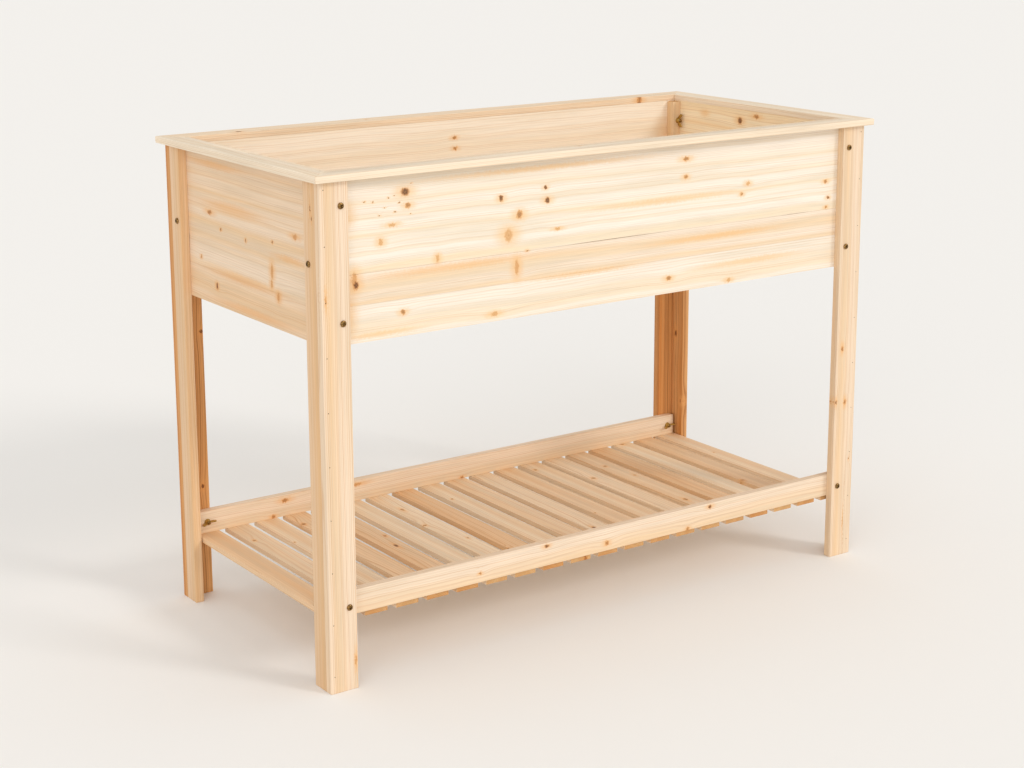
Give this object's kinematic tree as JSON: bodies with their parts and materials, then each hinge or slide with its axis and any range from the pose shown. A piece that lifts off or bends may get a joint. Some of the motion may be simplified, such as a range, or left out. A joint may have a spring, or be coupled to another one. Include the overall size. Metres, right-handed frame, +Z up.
{
  "type": "raised garden planter",
  "caption": "Raised timber planter box on tall corner legs, with a flat mitred rim, a drained floor and a slatted shelf below for storage.",
  "frame": {"origin": "on the ground, under the centre of the planter", "axes": "+X along the length, to the right seen from the front; +Y to the rear; +Z up"},
  "size_m": [1.226, 0.59, 0.88],
  "materials": {
    "leg_wood": "sanded, unfinished",
    "rim_wood": "sanded, unfinished",
    "wall_wood": "sanded, unfinished",
    "cleat_wood": "sanded, unfinished",
    "ledger_wood": "sanded, unfinished",
    "floor_wood": "sanded, unfinished",
    "rail_wood": "sanded, unfinished",
    "slat_wood": "sanded, unfinished",
    "bolt_zinc": "yellow zinc plated",
    "washer_zinc": "yellow zinc plated",
    "nut_zinc": "yellow zinc plated",
    "nail_steel": "plain wire",
    "screw_zinc": "yellow zinc plated"
  },
  "bodies": {
    "root": {"corner_cleat_front_left": "cleat_wood", "corner_cleat_front_right": "cleat_wood", "corner_cleat_rear_left": "cleat_wood", "corner_cleat_rear_right": "cleat_wood", "floor_board_1": "floor_wood", "floor_board_2": "floor_wood", "floor_board_3": "floor_wood", "floor_board_4": "floor_wood", "floor_board_5": "floor_wood", "floor_board_6": "floor_wood", "floor_board_7": "floor_wood", "floor_board_8": "floor_wood", "floor_ledger_front": "ledger_wood", "floor_ledger_rear": "ledger_wood", "floor_screws": "screw_zinc", "ledger_screws": "screw_zinc", "leg_brads": "nail_steel", "leg_front_left_face_board": "leg_wood", "leg_front_left_side_board": "leg_wood", "leg_front_right_face_board": "leg_wood", "leg_front_right_side_board": "leg_wood", "leg_rear_left_face_board": "leg_wood", "leg_rear_left_side_board": "leg_wood", "leg_rear_right_face_board": "leg_wood", "leg_rear_right_side_board": "leg_wood", "rail_bolts": "bolt_zinc", "rim_front": "rim_wood", "rim_left": "rim_wood", "rim_nails": "nail_steel", "rim_rear": "rim_wood", "rim_right": "rim_wood", "shelf_rail_front": "rail_wood", "shelf_rail_rear": "rail_wood", "shelf_slat_01": "slat_wood", "shelf_slat_02": "slat_wood", "shelf_slat_03": "slat_wood", "shelf_slat_04": "slat_wood", "shelf_slat_05": "slat_wood", "shelf_slat_06": "slat_wood", "shelf_slat_07": "slat_wood", "shelf_slat_08": "slat_wood", "shelf_slat_09": "slat_wood", "shelf_slat_10": "slat_wood", "shelf_slat_11": "slat_wood", "shelf_slat_12": "slat_wood", "shelf_slat_13": "slat_wood", "shelf_slat_14": "slat_wood", "shelf_slat_15": "slat_wood", "shelf_slat_16": "slat_wood", "shelf_slat_17": "slat_wood", "shelf_slat_18": "slat_wood", "shelf_slat_19": "slat_wood", "slat_nails": "nail_steel", "wall_bolts": "bolt_zinc", "wall_front": "wall_wood", "wall_left": "wall_wood", "wall_rear": "wall_wood", "wall_right": "wall_wood", "washers": "washer_zinc", "wing_nuts": "nut_zinc"}
  },
  "joints": []
}
